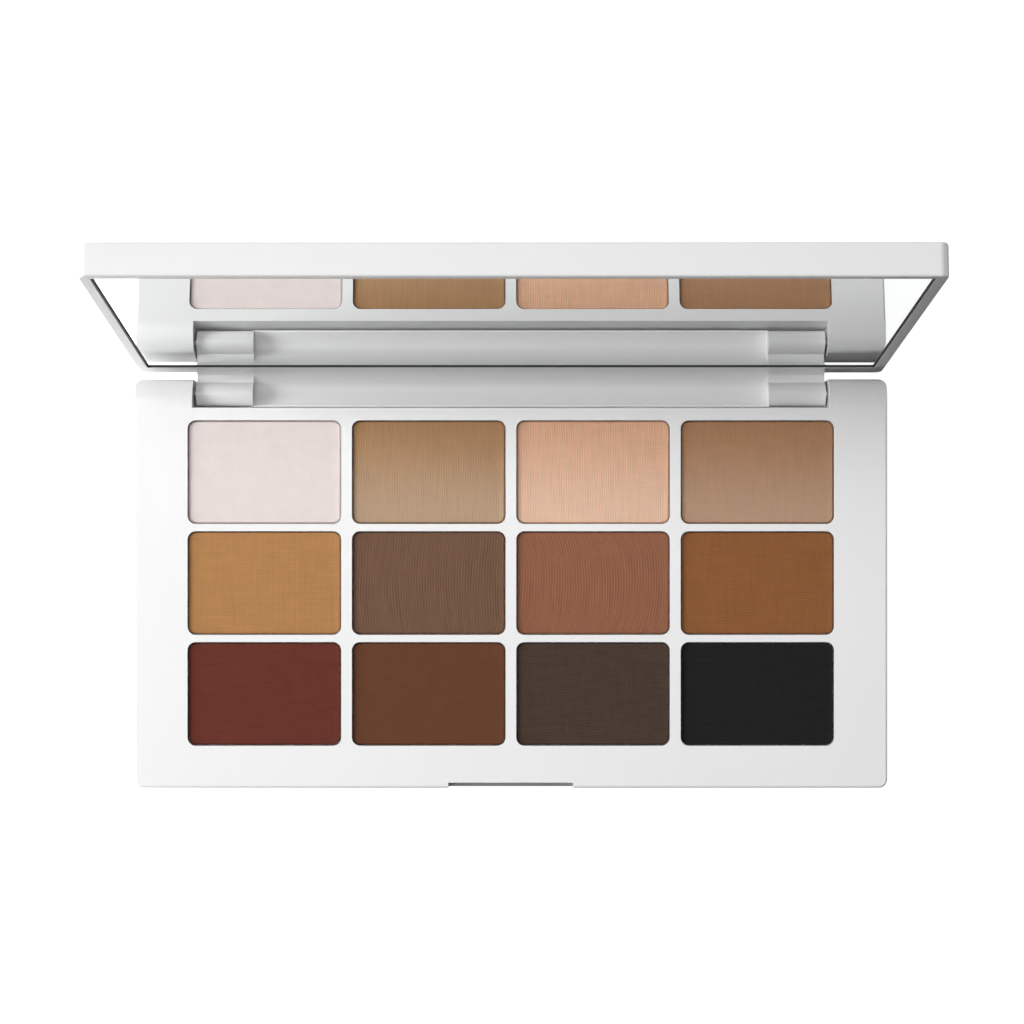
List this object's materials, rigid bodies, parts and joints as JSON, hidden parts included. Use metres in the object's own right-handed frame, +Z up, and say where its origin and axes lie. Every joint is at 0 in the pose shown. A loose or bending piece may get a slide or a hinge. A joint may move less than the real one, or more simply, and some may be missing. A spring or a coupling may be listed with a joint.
{
  "type": "eyeshadow palette",
  "caption": "Slim rectangular makeup palette: pressed powder pans in a white plastic base, and a hinged lid that holds a mirror, shown open.",
  "frame": {"origin": "centre of the underside of the base", "axes": "+Z up, +X along the width, +Y towards the hinge at the back; the thumb notch is at -Y"},
  "size_m": [0.146, 0.0966, 0.0796],
  "materials": {
    "white_plastic": "satin",
    "mirror": "polished",
    "pan_metal": "satin",
    "hinge_steel": "satin",
    "magnet": "satin",
    "adhesive": "matte",
    "seal": "satin",
    "label": "satin",
    "powder_1_1": "matte",
    "powder_1_2": "matte",
    "powder_1_3": "matte",
    "powder_1_4": "matte",
    "powder_2_1": "matte",
    "powder_2_2": "matte",
    "powder_2_3": "matte",
    "powder_2_4": "matte",
    "powder_3_1": "matte",
    "powder_3_2": "matte",
    "powder_3_3": "matte",
    "powder_3_4": "matte"
  },
  "bodies": {
    "base": {"deck_housing": "white_plastic", "bottom_cover": "white_plastic", "underside_label": "label", "pan_1_1": "pan_metal", "powder_1_1": "powder_1_1", "glue_pad_1_1": "adhesive", "pan_1_2": "pan_metal", "powder_1_2": "powder_1_2", "glue_pad_1_2": "adhesive", "pan_1_3": "pan_metal", "powder_1_3": "powder_1_3", "glue_pad_1_3": "adhesive", "pan_1_4": "pan_metal", "powder_1_4": "powder_1_4", "glue_pad_1_4": "adhesive", "pan_2_1": "pan_metal", "powder_2_1": "powder_2_1", "glue_pad_2_1": "adhesive", "pan_2_2": "pan_metal", "powder_2_2": "powder_2_2", "glue_pad_2_2": "adhesive", "pan_2_3": "pan_metal", "powder_2_3": "powder_2_3", "glue_pad_2_3": "adhesive", "pan_2_4": "pan_metal", "powder_2_4": "powder_2_4", "glue_pad_2_4": "adhesive", "pan_3_1": "pan_metal", "powder_3_1": "powder_3_1", "glue_pad_3_1": "adhesive", "pan_3_2": "pan_metal", "powder_3_2": "powder_3_2", "glue_pad_3_2": "adhesive", "pan_3_3": "pan_metal", "powder_3_3": "powder_3_3", "glue_pad_3_3": "adhesive", "pan_3_4": "pan_metal", "powder_3_4": "powder_3_4", "glue_pad_3_4": "adhesive", "hinge_pin_left": "hinge_steel", "base_magnet_left": "magnet", "hinge_pin_right": "hinge_steel", "base_magnet_right": "magnet"},
    "lid": {"lid_body": "white_plastic", "mirror": "mirror", "mirror_seal": "seal", "mirror_tape": "adhesive", "lid_magnet_left": "magnet", "lid_magnet_right": "magnet"}
  },
  "joints": [
    {"name": "lid_hinge", "type": "hinge", "parent": "base", "child": "lid", "pos_m": [0, 0.0369, 0.00415], "axis": [1, 0, 0], "range_deg": [0, 96.93]}
  ]
}
